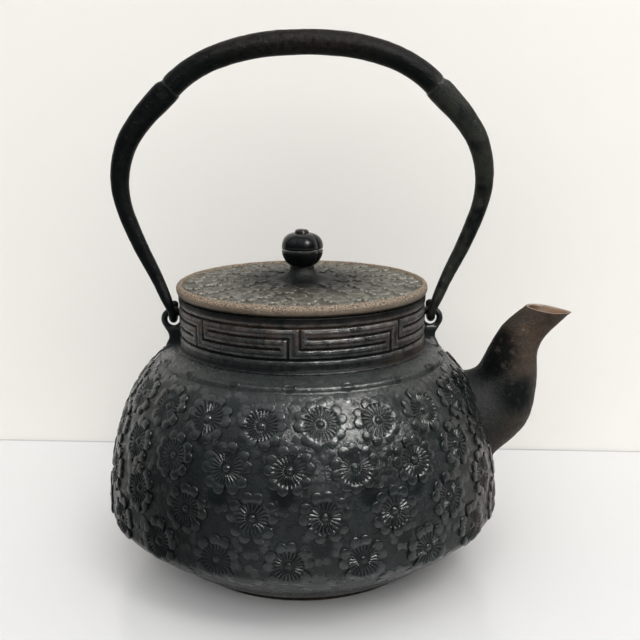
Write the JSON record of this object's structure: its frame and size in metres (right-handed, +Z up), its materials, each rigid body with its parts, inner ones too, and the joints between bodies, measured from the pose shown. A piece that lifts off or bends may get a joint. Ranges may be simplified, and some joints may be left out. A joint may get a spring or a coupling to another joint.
{
  "type": "cast iron kettle",
  "caption": "Cast iron kettle with a round belly, a key fret neck, a curved spout, a flat lid with a bud-shaped knob, and a swinging arched bail on two eyelet lugs.",
  "frame": {"origin": "centre of the flat base, on the surface that the kettle stands on", "axes": "+Z up, +X towards the spout, the bail lies in the XZ plane, and the picture looks along +Y"},
  "size_m": [0.2055, 0.175, 0.2264],
  "materials": {
    "body_iron": "satin, blue-black lacquered iron with light rust",
    "spout_iron": "matt, black worn to rust brown",
    "lid_iron": "satin, grey-green with a worn brown rim",
    "knob_iron": "polished black",
    "bail_iron": "satin black, forged, worn brown on top"
  },
  "bodies": {
    "kettle": {"kettle_bottom": "body_iron", "kettle_body": "body_iron", "kettle_neck": "body_iron", "spout": "spout_iron"},
    "lid": {"lid": "lid_iron", "knob_stem": "knob_iron", "knob_washer": "knob_iron"},
    "knob": {"knob_lower_shell": "knob_iron", "knob_upper_shell": "knob_iron"},
    "bail": {"handle_grip": "bail_iron", "handle_leg_spout_side": "bail_iron", "handle_leg_rear": "bail_iron"}
  },
  "joints": [
    {"name": "handle_swing", "type": "hinge", "parent": "kettle", "child": "bail", "pos_m": [0, 0, 0.1121], "axis": [1, 0, 0], "range_deg": [-123, 105]},
    {"name": "lid_lift", "type": "slide", "parent": "kettle", "child": "lid", "axis": [0, 0, 1], "range_m": [0, 0.06]},
    {"name": "knob_turn", "type": "hinge", "parent": "lid", "child": "knob", "pos_m": [0, 0, 0.139], "axis": [0, 0, 1], "continuous": true}
  ]
}
